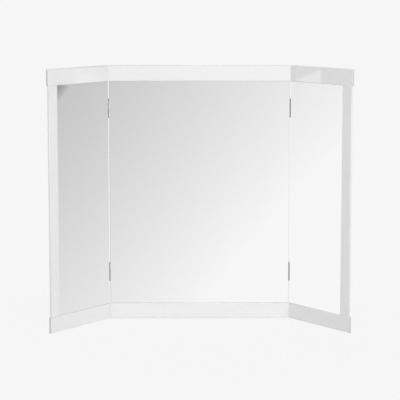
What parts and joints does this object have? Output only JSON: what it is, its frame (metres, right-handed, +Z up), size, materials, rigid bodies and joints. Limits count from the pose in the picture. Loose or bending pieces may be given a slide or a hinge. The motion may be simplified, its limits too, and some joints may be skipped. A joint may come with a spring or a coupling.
{
  "type": "dressing table mirror",
  "caption": "Free-standing triple dressing table mirror with gloss white rails; the wings fold forward on butt hinges, from flat to shut over the centre panel.",
  "frame": {"origin": "on the table, under the middle of the box that the part fills at rest", "axes": "+X to the viewer's right, +Y to the back of the mirror, +Z up"},
  "size_m": [0.6302, 0.1684, 0.5515],
  "materials": {
    "gloss_lacquer": "high-gloss white lacquer on MDF",
    "white_board": "satin white painted MDF",
    "mirror": "silvered float glass with ground edges",
    "mirror_tape": "white foam tape",
    "hinge_steel": "satin nickel plated steel",
    "zinc_screw": "bright zinc plated steel",
    "clear_silicone": "clear silicone"
  },
  "bodies": {
    "centre_panel": {"centre_back_board": "white_board", "centre_bottom_rail": "gloss_lacquer", "centre_feet": "clear_silicone", "centre_hinge_screws": "zinc_screw", "centre_mirror_glass": "mirror", "centre_mirror_tape": "mirror_tape", "centre_top_rail": "gloss_lacquer", "left_lower_hinge_centre_leaf": "hinge_steel", "left_lower_hinge_pin": "hinge_steel", "left_upper_hinge_centre_leaf": "hinge_steel", "left_upper_hinge_pin": "hinge_steel", "right_lower_hinge_centre_leaf": "hinge_steel", "right_lower_hinge_pin": "hinge_steel", "right_upper_hinge_centre_leaf": "hinge_steel", "right_upper_hinge_pin": "hinge_steel"},
    "left_wing": {"left_back_board": "white_board", "left_bottom_rail": "gloss_lacquer", "left_feet": "clear_silicone", "left_hinge_screws": "zinc_screw", "left_lower_hinge_wing_leaf": "hinge_steel", "left_mirror_glass": "mirror", "left_mirror_tape": "mirror_tape", "left_outer_stile": "gloss_lacquer", "left_top_rail": "gloss_lacquer", "left_upper_hinge_wing_leaf": "hinge_steel"},
    "right_wing": {"right_back_board": "white_board", "right_bottom_rail": "gloss_lacquer", "right_feet": "clear_silicone", "right_hinge_screws": "zinc_screw", "right_lower_hinge_wing_leaf": "hinge_steel", "right_mirror_glass": "mirror", "right_mirror_tape": "mirror_tape", "right_outer_stile": "gloss_lacquer", "right_top_rail": "gloss_lacquer", "right_upper_hinge_wing_leaf": "hinge_steel"}
  },
  "joints": [
    {"name": "left_wing_hinge", "type": "hinge", "parent": "centre_panel", "child": "left_wing", "pos_m": [-0.1945, 0.07012, 0.2765], "axis": [0, 0, 1], "range_deg": [-53, 127]},
    {"name": "right_wing_hinge", "type": "hinge", "parent": "centre_panel", "child": "right_wing", "pos_m": [0.1945, 0.07012, 0.2765], "axis": [0, 0, -1], "range_deg": [-53, 127]}
  ]
}
